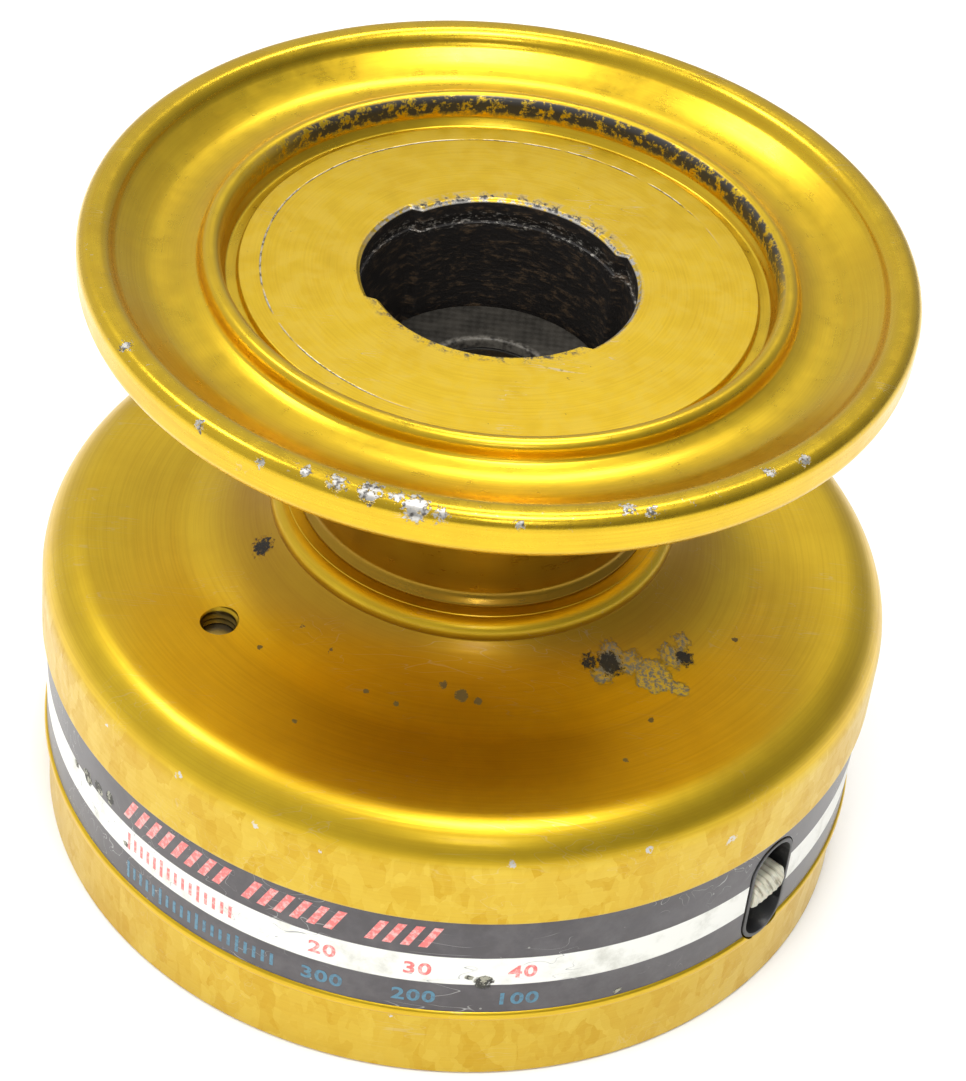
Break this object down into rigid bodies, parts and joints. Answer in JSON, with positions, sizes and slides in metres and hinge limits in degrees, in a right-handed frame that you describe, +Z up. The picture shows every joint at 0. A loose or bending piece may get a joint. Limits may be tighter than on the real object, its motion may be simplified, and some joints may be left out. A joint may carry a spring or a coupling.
{
  "type": "fishing reel spool",
  "caption": "Skirted line spool of a front-drag spinning reel, with rolled front flange, arbor, drag cavity, label band, line clip and click tongue.",
  "frame": {"origin": "centre of the skirt's rim, on the surface that the spool stands on", "axes": "+Z up the spindle axis, from the skirt's rim to the front flange; +X to the right of the face with the click screw on the left"},
  "size_m": [0.0612, 0.0612, 0.0499],
  "materials": {
    "anodised_gold": "satin gold anodising, worn",
    "label_film": "printed film in three stripes",
    "black_plastic": "moulded, matte",
    "pale_nylon": "moulded, worn and streaked",
    "drag_fibre": "woven carbon fibre, greased",
    "steel": "stamped and turned",
    "spring_steel": "drawn wire and strip",
    "bronze": "turned and sintered"
  },
  "bodies": {
    "spool": {"hub_arbor": "anodised_gold", "skirt": "anodised_gold", "hub_clamp_ring": "steel", "spindle_bush": "bronze", "label_band": "label_film", "line_clip_housing": "black_plastic", "line_clip_spring": "spring_steel", "fibre_washer_bottom": "drag_fibre", "fibre_washer_lower": "drag_fibre", "eared_washer": "steel", "fibre_washer_upper": "drag_fibre", "fibre_washer_top": "drag_fibre", "click_collar": "bronze", "click_screw": "steel", "click_spring": "spring_steel", "spring_post": "steel"},
    "lower_keyed_washer": {"keyed_washer_lower": "steel"},
    "upper_keyed_washer": {"keyed_washer_upper": "steel"},
    "tongue": {"click_tongue": "pale_nylon"},
    "clip_button": {"line_clip_button": "pale_nylon"}
  },
  "joints": [
    {"name": "lower_washer_turn", "type": "hinge", "parent": "spool", "child": "lower_keyed_washer", "pos_m": [0, 0, 0.0332], "axis": [0, 0, 1], "continuous": true},
    {"name": "upper_washer_turn", "type": "hinge", "parent": "spool", "child": "upper_keyed_washer", "pos_m": [0, 0, 0.037], "axis": [0, 0, 1], "continuous": true},
    {"name": "tongue_pivot", "type": "hinge", "parent": "spool", "child": "tongue", "pos_m": [-0.0166, -0.0122, 0.019], "axis": [0, 0, 1], "range_deg": [-20, 20], "stiffness_Nm_per_rad": 0.004, "deforming": ["click_spring"]},
    {"name": "clip_button_slide", "type": "slide", "parent": "spool", "child": "clip_button", "axis": [0.788, -0.6157, 0], "range_m": [0, 0.0006], "stiffness_N_per_m": 400, "deforming": ["line_clip_spring"]}
  ],
  "couplings": [
    {"joint": "upper_washer_turn", "follows": "lower_washer_turn", "ratio": 1}
  ]
}
